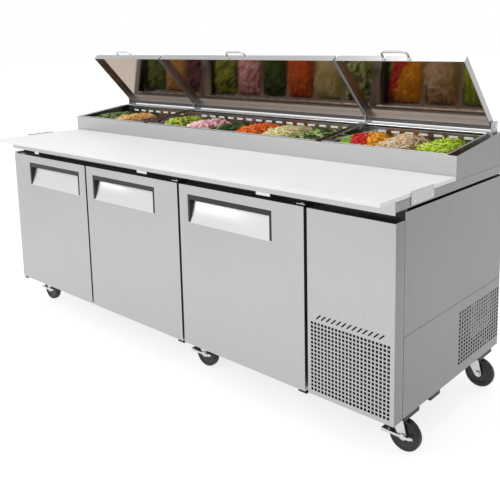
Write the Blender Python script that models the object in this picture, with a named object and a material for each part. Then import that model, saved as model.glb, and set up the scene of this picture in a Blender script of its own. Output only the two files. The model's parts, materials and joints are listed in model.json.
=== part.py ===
"""Sandwich prep table: three doors, a raised pan rail with three lids, on six casters.

Metres, +Z up.  X runs along the table, the doors face -Y and the floor is z = 0.
The origin is on the floor under the middle of the table.
"""
import math

import bmesh
import bpy
from mathutils import Matrix, Vector

# Clearances
GAP = 0.0003            # between solids that touch
CLEAR = 0.0005          # between large panels
SHEET = 0.003           # drawn thickness of folded sheet metal

# Body
HALF_WIDTH = 1.182      # body and worktop, from the middle to each end
FACE_Y = -0.364         # front faces of the doors
BACK_Y = 0.458          # rear of the body
BODY_BOTTOM = 0.165
BODY_TOP = 0.884        # top of the side panels, under the worktop's skirt
INNER_HALF = HALF_WIDTH - SHEET - CLEAR

# Doors and the panel beside them
DOOR_WIDTH = 0.6555
DOOR_GAP = 0.013
DOOR_BOTTOM = 0.160
DOOR_TOP = 0.857
DOOR_THICKNESS = 0.050
DOOR_HINGE_SIDES = (-1, 1, 1)
PIVOT_INSET = 0.015     # hinge pin, from the door's edge and from its face
PIN_RADIUS = 0.004
GASKET_INSET = 0.016
GASKET_WIDTH = 0.016

# Recessed handles
RECESS_WIDTH = 0.455
RECESS_BOTTOM = 0.701
RECESS_TOP = 0.819
RECESS_DEPTH = 0.038
RECESS_FROM_FREE_EDGE = 0.051
CHEEK = 0.012
GRIP_HEIGHT = 0.021

# Front frame
FRAME_FRONT = -0.308
FRAME_BACK = -0.290
MULLION_HALF = 0.040
HEADER_BOTTOM = 0.823
SILL_TOP = 0.205

# Insulated cabinet
CABINET_RIGHT = 0.815
CABINET_BACK = 0.455
CABINET_TOP = 0.868
WALL = 0.050
REAR_WALL = 0.065
SHELF_Z = 0.497
RAIL_WIDTH = 0.020
SHELF_FRONT = -0.260
SHELF_BACK = 0.280

# Panels
PANEL_SHEET = 0.0025
SIDE_SEAM = 0.457       # between the two sheets of the right-hand end
SLOT_HEIGHT = 0.008

# Worktop and board
SKIRT_Y = -0.370
WORKTOP_TOP = 0.927
FLANGE_BOTTOM = 0.894
BOARD_FRONT = -0.458
BOARD_THICKNESS = 0.0147
BOARD_INSET = 0.0005    # from the worktop's ends and from the rail
BRACKET_Y = (-0.275, -0.123)
BRACKET_Z = (0.900, 0.946)
BRACKET_THICKNESS = 0.0022

# Pan rail
RAIL_FRONT = 0.044
RAIL_FRONT_TOP = 1.017
RAIL_TOP = 1.055
SLOPE_END = 0.371
OPENING_Y = (0.056, 0.388)
OPENING_WIDTHS = (0.555, 1.089, 0.555)
DIVIDER = 0.040
WELL_Y = (0.0483, 0.3925)
WELL_FLOOR = 0.872
LEDGE_TOP = 0.9825
LEDGE_LIP = 0.0105      # ledges, in past the edges of the openings

# Pans
PAN_COUNTS = (3, 6, 3)
PAN_PITCH = 0.176
PAN_SIZE = (0.175, 0.325)
PAN_TOP = 0.985
PAN_DEPTH = 0.100
PAN_RIM = 0.0075        # how far the rim stands out past the pan's wall
PAN_TAPER = 0.004
PAN_WALL = 0.0016

# Lids
HINGE_Y = 0.430
HINGE_Z = 1.0795
DECK_SLOPE = math.atan2(RAIL_TOP - RAIL_FRONT_TOP, SLOPE_END - RAIL_FRONT)
LID_OPEN_ANGLE = math.radians(53.4)
LID_REACH = 0.378       # hinge axis to the free edge
LID_HEEL = 0.006        # hinge axis to the rear edge
LID_INNER = 0.0145      # hinge axis to the lip of the walls
LID_OUTER = 0.0155      # hinge axis to the outer face
LID_WALL = 0.003
LID_PANEL = 0.006
LID_BAR = 0.022         # hinge axis to the front of the solid bar that takes the pins
LID_SPANS = ((-1.145, -0.5705), (-0.5585, 0.5585), (0.5705, 1.145))
LID_PIN_RADIUS = 0.0032
LID_PIN_DEPTH = 0.010
PLATE_HALF = 0.003
HINGE_STRIP_Y = (0.400, 0.452)
HINGE_PLATE_TOP = 1.100
HANDLE_WIDTH = 0.125
HANDLE_REACH = 0.042
HANDLE_RADIUS = 0.005

# Base and casters
CHANNELS_Y = ((-0.285, -0.185), (-0.104, -0.034), (0.300, 0.410))
CHANNEL_BOTTOM = 0.145
CASTER_X = (-1.150, 0.122, 1.119)
CASTER_Y = (-0.224, 0.376)
FORK_TOP = 0.1335
TRAIL = 0.028           # swivel axis to wheel axle
WHEEL_RADIUS = 0.060
WHEEL_HALF_WIDTH = 0.015
WHEEL_SIDES = 32
AXLE_RADIUS = 0.005
KINGPIN_RADIUS = 0.006

# Refrigeration
COIL_X = (0.855, 1.145)
COIL_Y = (-0.268, -0.230)
COIL_TOP = 0.440
COIL_BORDER = 0.020     # plain metal above and below the fins
GROOVE_WIDTH = 0.005
BRACKET_BACK = -0.140
BRACKET_HALF_HEIGHT = 0.015
BRACKET_SHEET = 0.006
COMPRESSOR_XY = (1.000, 0.150)
COMPRESSOR_FOOT = (0.105, 0.085)
EVAPORATOR = (-0.450, 0.350, 0.300, 0.3895, 0.600, 0.8195)
FAN_CENTRE = (1.000, -0.185, 0.305)
FAN_RADIUS = 0.115
FAN_BLADES = 5

FINISHES = {
    "stainless": ((0.62, 0.63, 0.64), 1.0, 0.30),
    "stainless_dark": ((0.42, 0.43, 0.44), 1.0, 0.38),
    "mirror_lid": ((0.66, 0.67, 0.68), 1.0, 0.12),
    "aluminium": ((0.70, 0.71, 0.72), 1.0, 0.40),
    "zinc": ((0.55, 0.56, 0.57), 1.0, 0.35),
    "board_white": ((0.86, 0.86, 0.84), 0.0, 0.55),
    "black_plastic": ((0.015, 0.015, 0.016), 0.0, 0.45),
    "grey_gasket": ((0.10, 0.10, 0.105), 0.0, 0.60),
    "black_steel": ((0.02, 0.02, 0.022), 0.3, 0.50),
    "wheel_black": ((0.018, 0.018, 0.019), 0.0, 0.65),
    "white_wire": ((0.80, 0.81, 0.82), 0.0, 0.40),
}


# ---------------------------------------------------------------- shapes
# A shape is (vertices, faces) of one closed body.

def box(x0, x1, y0, y1, z0, z1):
    return boxwork([(x0, x1, y0, y1, z0, z1)])


def boxwork(solids, voids=(), warp=None):
    """The union of axis-aligned boxes (x0, x1, y0, y1, z0, z1), less the void boxes.

    warp, if given, moves each grid point of the finished shape.
    """
    grid = []
    for axis in range(3):
        values = {round(b[2 * axis + end], 6) for b in list(solids) + list(voids) for end in (0, 1)}
        grid.append(sorted(values))

    def inside(cell, b):
        return all(b[2 * a] < (grid[a][cell[a]] + grid[a][cell[a] + 1]) / 2 < b[2 * a + 1] for a in range(3))

    cells = set()
    for i in range(len(grid[0]) - 1):
        for j in range(len(grid[1]) - 1):
            for k in range(len(grid[2]) - 1):
                cell = (i, j, k)
                if any(inside(cell, b) for b in solids) and not any(inside(cell, b) for b in voids):
                    cells.add(cell)

    bm = bmesh.new()
    points = {}

    def point(i, j, k):
        if (i, j, k) not in points:
            place = (grid[0][i], grid[1][j], grid[2][k])
            points[(i, j, k)] = bm.verts.new(warp(*place) if warp else place)
        return points[(i, j, k)]

    for cell in sorted(cells):
        for axis in range(3):
            side, up = (axis + 1) % 3, (axis + 2) % 3
            for end in (0, 1):
                neighbour = list(cell)
                neighbour[axis] += 1 if end else -1
                if tuple(neighbour) in cells:
                    continue
                corners = []
                for s, u in ((0, 0), (1, 0), (1, 1), (0, 1)):
                    corner = list(cell)
                    corner[axis] += end
                    corner[side] += s
                    corner[up] += u
                    corners.append(point(*corner))
                bm.faces.new(corners if end else corners[::-1])
    bmesh.ops.dissolve_limit(bm, angle_limit=0.001, verts=bm.verts[:], edges=bm.edges[:])
    return shape_from(bm)


def shape_from(bm):
    """The bmesh as a shape, with its faces turned outward."""
    bmesh.ops.recalc_face_normals(bm, faces=bm.faces[:])
    bm.verts.index_update()
    vertices = [v.co.copy() for v in bm.verts]
    faces = [tuple(v.index for v in f.verts) for f in bm.faces]
    bm.free()
    return vertices, faces


def prism(outline, start, end, axis="X"):
    """An outline in the plane across the axis, extruded from start to end along it.

    The outline's two numbers are (y, z) for X, (x, z) for Y and (x, y) for Z.
    """
    places = {"X": lambda a, b, t: (t, a, b), "Y": lambda a, b, t: (a, t, b), "Z": lambda a, b, t: (a, b, t)}
    place = places[axis]
    bm = bmesh.new()
    rings = [[bm.verts.new(place(a, b, t)) for a, b in outline] for t in (start, end)]
    bm.faces.new(rings[0])
    bm.faces.new(rings[1][::-1])
    for i in range(len(outline)):
        j = (i + 1) % len(outline)
        bm.faces.new((rings[0][i], rings[1][i], rings[1][j], rings[0][j]))
    return shape_from(bm)


def arc(centre, radius, start, end, steps):
    """Points on a circle from one angle to another, in degrees."""
    angles = [math.radians(start + (end - start) * i / steps) for i in range(steps + 1)]
    return [(centre[0] + radius * math.cos(a), centre[1] + radius * math.sin(a)) for a in angles]


def rod(centre, radius, start, end, axis="Z", sides=16):
    """A round bar along an axis, through the centre given across it."""
    return prism(arc(centre, radius, 0, 360 * (sides - 1) / sides, sides - 1), start, end, axis)


def turned(profile, sides, centre, axis="Z", ring=False):
    """A profile of (radius, height) points turned about an axis through the centre.

    A ring's profile closes on itself round a bore; any other starts and ends on the axis.
    Flats face along the axes, so a wheel stands on one of them.
    """
    bm = bmesh.new()
    rows = []
    for radius, height in profile:
        if radius == 0:
            rows.append([bm.verts.new((0, 0, height))] * sides)
            continue
        angles = [2 * math.pi * (i + 0.5) / sides for i in range(sides)]
        rows.append([bm.verts.new((radius * math.cos(a), radius * math.sin(a), height)) for a in angles])
    pairs = list(zip(rows, rows[1:] + rows[:1])) if ring else list(zip(rows, rows[1:]))
    for lower, upper in pairs:
        for i in range(sides):
            j = (i + 1) % sides
            corners = list(dict.fromkeys((lower[i], lower[j], upper[j], upper[i])))
            bm.faces.new(corners)
    turn = {"Z": Matrix.Identity(4), "Y": Matrix.Rotation(math.radians(90), 4, "X")}[axis]
    bmesh.ops.transform(bm, matrix=Matrix.Translation(centre) @ turn, verts=bm.verts[:])
    return shape_from(bm)


def rounded_rectangle(width, depth, radius, steps=3):
    """Corner points of a rounded rectangle about the origin."""
    points = []
    for corner, (sx, sy) in enumerate(((1, 1), (-1, 1), (-1, -1), (1, -1))):
        centre = (sx * (width / 2 - radius), sy * (depth / 2 - radius))
        points += arc(centre, radius, 90 * corner, 90 * corner + 90, steps)
    return points


def loft(rings):
    """A closed body through rings of points, capped at the first and the last."""
    bm = bmesh.new()
    rows = [[bm.verts.new(p) for p in ring] for ring in rings]
    for lower, upper in zip(rows, rows[1:]):
        for i in range(len(lower)):
            j = (i + 1) % len(lower)
            bm.faces.new((lower[i], lower[j], upper[j], upper[i]))
    bm.faces.new(rows[0])
    bm.faces.new(rows[-1])
    return shape_from(bm)


def boolean(operation, shape, tools):
    """The shape after each tool in turn is united with it, or cut out of it."""
    target = temporary_object(shape)
    helpers = [temporary_object(tool) for tool in tools]
    for helper in helpers:
        modifier = target.modifiers.new("Boolean", "BOOLEAN")
        modifier.operation = operation
        modifier.solver = "EXACT"
        modifier.object = helper
    evaluated = target.evaluated_get(bpy.context.evaluated_depsgraph_get())
    mesh = bpy.data.meshes.new_from_object(evaluated)
    result = ([v.co.copy() for v in mesh.vertices], [tuple(p.vertices) for p in mesh.polygons])
    bpy.data.meshes.remove(mesh)
    for helper in [target] + helpers:
        bpy.data.objects.remove(helper, do_unlink=True)
    return result


def union(shape, *tools):
    return boolean("UNION", shape, tools)


def cut(shape, *tools):
    return boolean("DIFFERENCE", shape, tools)


def temporary_object(shape):
    mesh = bpy.data.meshes.new("helper")
    mesh.from_pydata(shape[0], [], shape[1])
    helper = bpy.data.objects.new("helper", mesh)
    bpy.context.scene.collection.objects.link(helper)
    return helper


# ---------------------------------------------------------------- objects

def finish_material(name):
    material = bpy.data.materials.get(name)
    if material is None:
        colour, metallic, roughness = FINISHES[name]
        material = bpy.data.materials.new(name)
        material.use_nodes = True
        shader = material.node_tree.nodes["Principled BSDF"]
        shader.inputs["Base Color"].default_value = (*colour, 1.0)
        shader.inputs["Metallic"].default_value = metallic
        shader.inputs["Roughness"].default_value = roughness
    return material


def place(name, shape, finish, origin=(0.0, 0.0, 0.0), smooth=False):
    """A named object from a shape in world coordinates, with its origin where it turns or slides."""
    mesh = bpy.data.meshes.new(name)
    offset = Vector(origin)
    mesh.from_pydata([Vector(v) - offset for v in shape[0]], [], shape[1])
    return place_mesh(name, mesh, finish, origin, smooth)


def place_mesh(name, mesh, finish, origin, smooth=False):
    if not mesh.materials:
        mesh.materials.append(finish_material(finish))
    if smooth:
        mesh.shade_smooth()
        mesh.set_sharp_from_angle(angle=math.radians(35))
    thing = bpy.data.objects.new(name, mesh)
    thing.location = origin
    bpy.context.scene.collection.objects.link(thing)
    return thing


# ---------------------------------------------------------------- base and casters

def base_frame():
    """Floor pan with three open channels under it and six caster plates with swivel races."""
    left, right = -INNER_HALF, INNER_HALF
    plate_z = (0.162, BODY_BOTTOM)
    solids = [(left, right, CHANNELS_Y[0][0], 0.452, *plate_z)]
    for front, back in CHANNELS_Y:
        for y in (front, back - SHEET):
            solids.append((left, right, y, y + SHEET, CHANNEL_BOTTOM, BODY_BOTTOM))
        for x in (left, right - SHEET):
            solids.append((x, x + SHEET, front, back, CHANNEL_BOTTOM, BODY_BOTTOM))
    races = []
    sockets = []
    channel_of = {CASTER_Y[0]: CHANNELS_Y[0], CASTER_Y[1]: CHANNELS_Y[2]}
    for x in CASTER_X:
        for y in CASTER_Y:
            front, back = channel_of[y]
            solids.append((max(left, x - 0.045), min(right, x + 0.045), front, back, 0.1415, 0.1455))
            races.append(rod((x, y), 0.026, 0.1345, 0.143, sides=24))
            sockets.append(rod((x, y), KINGPIN_RADIUS + GAP, 0.130, 0.1412))
    place("base_frame", cut(union(boxwork(solids), *races), *sockets), "black_steel")


def caster_fork(with_brake):
    """Swivel fork about the origin's vertical axis, its axle trailing toward +X."""
    axle = (TRAIL, WHEEL_RADIUS)
    leg = [(-0.022, FORK_TOP), (-0.022, 0.112)] + arc(axle, 0.015, 205, 380, 8)
    leg += [(0.030, 0.116), (0.024, FORK_TOP)]
    tools = [prism(leg, side * 0.0175, side * 0.0205, "Y") for side in (-1, 1)]
    tools.append(rod((0, 0), 0.0225, 0.129, 0.1342, sides=24))
    tools.append(rod((0, 0), KINGPIN_RADIUS, 0.130, 0.1405))
    tools.append(rod(axle, AXLE_RADIUS, -0.019, 0.019, "Y"))
    for side in (-1, 1):
        tools.append(rod(axle, 0.009, side * 0.0195, side * 0.0245, "Y", 6))
    if with_brake:
        arms = [(-0.057, 0.014, side - 0.0013, side + 0.0013, 0.053, 0.061) for side in (-0.0187, 0.0187)]
        tread = (-0.057, -0.037, -0.0225, 0.0225, 0.051, 0.063)
        tools.append(boxwork(arms + [tread]))
    return union(box(-0.0235, 0.0255, -0.0215, 0.0215, 0.1262, FORK_TOP + 0.0002), *tools)


def caster_wheel():
    """Tyre and web round the bore, turned about Y, standing on a flat."""
    tread = WHEEL_RADIUS / math.cos(math.pi / WHEEL_SIDES)
    bore = AXLE_RADIUS + GAP
    half = [(bore, 0.0160), (0.016, 0.0160), (0.018, 0.011), (0.041, 0.011), (0.044, WHEEL_HALF_WIDTH),
            (0.054, WHEEL_HALF_WIDTH), (tread, 0.010)]
    profile = half + [(radius, -height) for radius, height in reversed(half)]
    return turned(profile, WHEEL_SIDES, (0, 0, 0), "Y", ring=True)


def shared_mesh(name, shape):
    mesh = bpy.data.meshes.new(name)
    mesh.from_pydata(shape[0], [], shape[1])
    return mesh


def casters():
    """Three casters with brake pedals along the front and three plain ones along the rear."""
    wheel = shared_mesh("caster_wheel", caster_wheel())
    for row, y in zip(("front", "rear"), CASTER_Y):
        fork = shared_mesh("caster_fork_" + row, caster_fork(row == "front"))
        for side, x in zip(("left", "middle", "right"), CASTER_X):
            place_mesh(f"caster_fork_{row}_{side}", fork, "zinc", (x, y, 0.0), True)
            place_mesh(f"caster_wheel_{row}_{side}", wheel, "wheel_black", (x + TRAIL, y, WHEEL_RADIUS), True)


# ---------------------------------------------------------------- cabinet

def door_span(index):
    left = -HALF_WIDTH + index * (DOOR_WIDTH + DOOR_GAP)
    return left, left + DOOR_WIDTH


def post_centres():
    """Middles of the gaps between neighbouring doors."""
    return [door_span(i)[1] + DOOR_GAP / 2 for i in range(2)]


def door_pivot(index):
    side = DOOR_HINGE_SIDES[index]
    edge = door_span(index)[0 if side < 0 else 1]
    return edge - side * PIVOT_INSET, FACE_Y + PIVOT_INSET


def insulated_cabinet():
    """Foamed box open at the front, with shelf rails on pilasters and an upstand for the worktop."""
    bottom = BODY_BOTTOM + CLEAR
    inner_left, inner_right = -HALF_WIDTH + WALL, CABINET_RIGHT - WALL - 0.005
    floor, ceiling = bottom + WALL, CABINET_TOP - WALL + 0.002
    front, inner_back = FRAME_BACK + CLEAR, CABINET_BACK - REAR_WALL
    solids = [
        (-HALF_WIDTH, CABINET_RIGHT, front, CABINET_BACK, bottom, floor),
        (-HALF_WIDTH, CABINET_RIGHT, front, CABINET_BACK, ceiling, CABINET_TOP),
        (-HALF_WIDTH, CABINET_RIGHT, inner_back, CABINET_BACK, bottom, CABINET_TOP),
        (-HALF_WIDTH, inner_left, front, CABINET_BACK, bottom, CABINET_TOP),
        (inner_right, CABINET_RIGHT, front, CABINET_BACK, bottom, CABINET_TOP),
        (-HALF_WIDTH, -HALF_WIDTH + SHEET, front, CABINET_BACK, CABINET_TOP, BODY_TOP),
        (-INNER_HALF, CABINET_RIGHT, 0.404, 0.410, CABINET_TOP, WORKTOP_TOP - SHEET - GAP),
    ]
    for x in (inner_left, inner_right - RAIL_WIDTH / 2):
        solids.append((x, x + RAIL_WIDTH / 2, front, inner_back, SHELF_Z - 0.007, SHELF_Z))
    for centre in post_centres():
        x0, x1 = centre - RAIL_WIDTH / 2, centre + RAIL_WIDTH / 2
        solids.append((x0, x1, front, inner_back, SHELF_Z - 0.007, SHELF_Z))
        solids.append((x0, x1, front, front + RAIL_WIDTH, floor, ceiling))
    place("insulated_cabinet", boxwork(solids), "stainless")


def front_frame():
    """Face frame round the doors and the machine bay, with the door hinge plates and pins."""
    top = WORKTOP_TOP - SHEET - GAP
    left, right = -INNER_HALF, INNER_HALF
    posts = [(left, -HALF_WIDTH + 0.050), (CABINET_RIGHT - 0.058, CABINET_RIGHT + 0.006), (1.160, right)]
    posts += [(c - MULLION_HALF, c + MULLION_HALF) for c in post_centres()]
    solids = [(x0, x1, FRAME_FRONT, FRAME_BACK, BODY_BOTTOM, top) for x0, x1 in posts]
    solids.append((left, right, FRAME_FRONT, FRAME_BACK, HEADER_BOTTOM, top))
    solids.append((left, right, FRAME_FRONT, FRAME_BACK, BODY_BOTTOM, SILL_TOP))
    pins = []
    for index in range(3):
        x, y = door_pivot(index)
        x0, x1 = max(left, x - 0.020), min(right, x + 0.020)
        solids.append((x0, x1, FACE_Y + 0.003, FRAME_BACK, DOOR_TOP + 0.003, DOOR_TOP + 0.007))
        solids.append((x0, x1, FACE_Y + 0.003, FRAME_BACK, DOOR_BOTTOM - 0.009, DOOR_BOTTOM - 0.005))
        solids.append((x0, x1, FRAME_FRONT, FRAME_BACK, DOOR_BOTTOM - 0.009, BODY_BOTTOM))
        pins.append(rod((x, y), PIN_RADIUS, DOOR_TOP - 0.012, DOOR_TOP + 0.005))
        pins.append(rod((x, y), PIN_RADIUS, DOOR_BOTTOM - 0.007, DOOR_BOTTOM + 0.012))
    place("front_frame", union(boxwork(solids), *pins), "black_steel")


def recess_outline(clearance):
    """Wedge across the handle recess: deepest under its top edge, flush at its bottom edge."""
    top = RECESS_TOP - clearance
    slope = RECESS_DEPTH / (RECESS_TOP - RECESS_BOTTOM)
    back = FACE_Y + RECESS_DEPTH - clearance * (1 + slope)
    bottom = top - (back - FACE_Y) / slope
    return back, bottom, top


def recess_span(index):
    left, right = door_span(index)
    if DOOR_HINGE_SIDES[index] < 0:
        return right - RECESS_FROM_FREE_EDGE - RECESS_WIDTH, right - RECESS_FROM_FREE_EDGE
    return left + RECESS_FROM_FREE_EDGE, left + RECESS_FROM_FREE_EDGE + RECESS_WIDTH


def door(index):
    """Foamed door slab with a wedge-shaped handle recess and a pin hole in each end."""
    left, right = door_span(index)
    x, y = door_pivot(index)
    slab = box(left, right, FACE_Y, FACE_Y + DOOR_THICKNESS, DOOR_BOTTOM, DOOR_TOP)
    back, bottom, top = recess_outline(0.0)
    lead = 0.010
    slope = (back - FACE_Y) / (top - bottom)
    wedge = [(FACE_Y - lead, bottom - lead / slope), (back, top), (FACE_Y - lead, top)]
    recess = prism(wedge, *recess_span(index), "X")
    upper = rod((x, y), PIN_RADIUS + GAP, DOOR_TOP - 0.014, DOOR_TOP + 0.010)
    lower = rod((x, y), PIN_RADIUS + GAP, DOOR_BOTTOM - 0.010, DOOR_BOTTOM + 0.014)
    place(f"door_{index + 1}", cut(slab, recess, upper, lower), "stainless", (x, y, DOOR_BOTTOM))


def door_handle(index):
    """Black insert in the recess: a grip bar along its top and a cheek at each end."""
    x0, x1 = recess_span(index)
    x0, x1 = x0 + GAP, x1 - GAP
    back, bottom, top = recess_outline(GAP)
    face = FACE_Y
    body = prism([(face, bottom), (back, top), (face, top)], x0, x1, "X")
    hollow = box(x0 + CHEEK, x1 - CHEEK, face - 0.010, back + 0.010, bottom - 0.010, top - GRIP_HEIGHT)
    pivot = door_pivot(index)
    place(f"door_handle_{index + 1}", cut(body, hollow), "black_plastic", (*pivot, DOOR_BOTTOM))


def door_gasket(index):
    """Ring between the door's back and the frame."""
    left, right = door_span(index)
    y0, y1 = FACE_Y + DOOR_THICKNESS + GAP, FRAME_FRONT - GAP
    z0, z1 = DOOR_BOTTOM + GASKET_INSET, DOOR_TOP - GASKET_INSET
    outer = (left + GASKET_INSET, right - GASKET_INSET, y0, y1, z0, z1)
    w = GASKET_WIDTH
    inner = (outer[0] + w, outer[1] - w, y0, y1, z0 + w, z1 - w)
    pivot = door_pivot(index)
    place(f"door_gasket_{index + 1}", boxwork([outer], [inner]), "grey_gasket", (*pivot, DOOR_BOTTOM))


def doors():
    for index in range(3):
        door(index)
        door_handle(index)
        door_gasket(index)


def shelves():
    """Three wire shelves: a border with crossbars from front to back."""
    edges = [-HALF_WIDTH + WALL, *post_centres(), CABINET_RIGHT - WALL - 0.005]
    wire = 0.006
    bars = 12
    for index in range(3):
        x0 = edges[index] + 0.0015
        x1 = edges[index + 1] - 0.0015
        z = (SHELF_Z + GAP, SHELF_Z + GAP + wire)
        solids = [(x0, x1, y, y + wire, *z) for y in (SHELF_FRONT, SHELF_BACK - wire)]
        for bar in range(bars):
            x = x0 + (x1 - x0 - wire) * bar / (bars - 1)
            solids.append((x, x + wire, SHELF_FRONT, SHELF_BACK, *z))
        place(f"shelf_{index + 1}", boxwork(solids), "white_wire", (0.0, 0.0, SHELF_Z))


# ---------------------------------------------------------------- panels

def slot_rows(first, last, count, height):
    pitch = (last - first) / (count - 1)
    return [(first + i * pitch - height / 2, first + i * pitch + height / 2) for i in range(count)]


def front_panel():
    """Folded panel in front of the machine bay, with slots for the condenser's air."""
    x0, x1 = door_span(2)[1] + DOOR_GAP, HALF_WIDTH
    y0, y1 = FACE_Y, FRAME_FRONT - CLEAR
    outer = (x0, x1, y0, y1, DOOR_BOTTOM, DOOR_TOP)
    hollow = (x0 + SHEET, x1 - SHEET, y0 + SHEET, y1, DOOR_BOTTOM + SHEET, DOOR_TOP - SHEET)
    middle = 1.0025
    voids = [hollow]
    for z0, z1 in slot_rows(0.184, 0.437, 17, SLOT_HEIGHT):
        for a, b in ((middle - 0.164, middle - 0.004), (middle + 0.004, middle + 0.164)):
            voids.append((a, b, y0, y0 + SHEET, z0, z1))
    place("front_panel", boxwork([outer], voids), "stainless")


def side_panels():
    """Right-hand end in two sheets; the lower one is slotted near the rear."""
    x = (HALF_WIDTH - PANEL_SHEET, HALF_WIDTH)
    y = (-0.306, BACK_Y - SHEET)
    place("side_panel_upper", box(*x, *y, SIDE_SEAM + CLEAR, BODY_TOP), "stainless")
    slots = [(*x, 0.101, 0.450, z0, z1) for z0, z1 in slot_rows(0.210, 0.410, 14, SLOT_HEIGHT)]
    lower = boxwork([(*x, *y, BODY_BOTTOM, SIDE_SEAM - CLEAR)], slots)
    place("side_panel_lower", lower, "stainless")


def rear_panel():
    x = (-HALF_WIDTH, HALF_WIDTH)
    y = (BACK_Y - PANEL_SHEET, BACK_Y)
    slots = [(0.88, 1.12, *y, z0, z1) for z0, z1 in slot_rows(0.25, 0.41, 8, SLOT_HEIGHT)]
    sheet = (*x, *y, BODY_BOTTOM, BODY_TOP)
    place("rear_panel", boxwork([sheet], slots), "stainless_dark")


# ---------------------------------------------------------------- worktop and board

def worktop():
    """Folded top with a deep front skirt, open over the cold well."""
    w = HALF_WIDTH
    outer = (-w, w, SKIRT_Y, BACK_Y, FLANGE_BOTTOM, WORKTOP_TOP)
    skirt = (-w, w, SKIRT_Y, SKIRT_Y + SHEET, BODY_TOP, WORKTOP_TOP)
    hollow = (-w + SHEET, w - SHEET, SKIRT_Y + SHEET, BACK_Y - SHEET, FLANGE_BOTTOM, WORKTOP_TOP - SHEET)
    well = (-1.143, 1.143, WELL_Y[0] - 0.0008, WELL_Y[1] + 0.001, FLANGE_BOTTOM, WORKTOP_TOP)
    place("worktop", boxwork([outer, skirt], [hollow, well]), "stainless")


def cutting_board():
    z0 = WORKTOP_TOP + GAP
    half = HALF_WIDTH - BOARD_INSET
    board = box(-half, half, BOARD_FRONT, RAIL_FRONT - BOARD_INSET, z0, z0 + BOARD_THICKNESS)
    place("cutting_board", board, "board_white", (0.0, BOARD_FRONT / 2, z0))


def board_brackets():
    """Flat plate on each end of the worktop that keeps the board from sliding sideways."""
    for name, side in (("left", -1), ("right", 1)):
        inner = side * (HALF_WIDTH + GAP)
        outer = inner + side * BRACKET_THICKNESS
        plate = box(min(inner, outer), max(inner, outer), *BRACKET_Y, *BRACKET_Z)
        place(f"board_bracket_{name}", plate, "stainless")


# ---------------------------------------------------------------- pan rail

def opening_spans():
    """X spans of the three pan openings, divided by two narrow strips."""
    total = sum(OPENING_WIDTHS) + 2 * DIVIDER
    spans = []
    left = -total / 2
    for width in OPENING_WIDTHS:
        spans.append((left, left + width))
        left += width + DIVIDER
    return spans


def deck_height(y):
    return min(RAIL_TOP, RAIL_FRONT_TOP + (y - RAIL_FRONT) * math.tan(DECK_SLOPE))


def rail_housing():
    """Raised box on the worktop whose deck slopes up to the rear, open underneath."""
    w = HALF_WIDTH
    under, top = 1.0, 2.0

    def on_deck(x, y, z):
        if z == top:
            return x, y, deck_height(y)
        if z == under:
            return x, y, deck_height(y) - SHEET
        return x, y, z

    base = WORKTOP_TOP + GAP
    halves = [(-w, w, RAIL_FRONT, SLOPE_END, base, top), (-w, w, SLOPE_END, BACK_Y, base, top)]
    voids = [(-w + SHEET, w - SHEET, RAIL_FRONT + SHEET, BACK_Y - SHEET, base, under)]
    voids += [(x0, x1, *OPENING_Y, under, top) for x0, x1 in opening_spans()]
    place("rail_housing", boxwork(halves, voids, on_deck), "stainless")


def cold_well():
    """Tub hung in the rail: floor, walls, two ledges for the pan rims and a beam under each divider."""
    half = opening_spans()[2][1] + SHEET - 0.0005
    y0, y1 = WELL_Y
    bottom = WELL_FLOOR
    ledge = (LEDGE_TOP - 0.004, LEDGE_TOP)
    solids = [
        (-half, half, y0, y1, bottom, bottom + SHEET),
        (-half, half, y0, y0 + 0.0025, bottom, 1.010),
        (-half, half, y1 - SHEET, y1, bottom, 1.045),
        (-half, -half + SHEET, y0, y1, bottom, 1.010),
        (half - SHEET, half, y0, y1, bottom, 1.010),
        (-half, half, y0, OPENING_Y[0] + LEDGE_LIP, *ledge),
        (-half, half, OPENING_Y[1] - LEDGE_LIP, y1, *ledge),
    ]
    spans = opening_spans()
    for left, right in zip(spans, spans[1:]):
        solids.append((left[1], right[0], y0, y1, LEDGE_TOP - 0.004, 1.010))
    place("cold_well", boxwork(solids), "stainless")


def food_pans():
    """Twelve third-size pans, three at each end and six in the middle."""
    width, depth = PAN_SIZE
    centre_y = (OPENING_Y[0] + OPENING_Y[1]) / 2
    outer = (width - 2 * PAN_RIM, depth - 2 * PAN_RIM)
    wall, taper = PAN_WALL, PAN_TAPER
    levels = [
        (outer[0] - 2 * taper, outer[1] - 2 * taper, 0.020, -PAN_DEPTH),
        (*outer, 0.022, -0.0015),
        (width, depth, 0.014, -0.0015),
        (width, depth, 0.014, 0.0),
        (outer[0] - 2 * wall, outer[1] - 2 * wall, 0.021, 0.0),
        (outer[0] - 2 * (taper + wall), outer[1] - 2 * (taper + wall), 0.019, wall - PAN_DEPTH),
    ]
    rings = [[(x, y, z) for x, y in rounded_rectangle(w, d, r)] for w, d, r, z in levels]
    pan = shared_mesh("pan", loft(rings))
    number = 1
    for (x0, x1), count in zip(opening_spans(), PAN_COUNTS):
        first = (x0 + x1) / 2 - PAN_PITCH * (count - 1) / 2
        for i in range(count):
            origin = (first + i * PAN_PITCH, centre_y, PAN_TOP)
            place_mesh(f"pan_{number:02d}", pan, "stainless", origin, True)
            number += 1


# ---------------------------------------------------------------- lids

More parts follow.
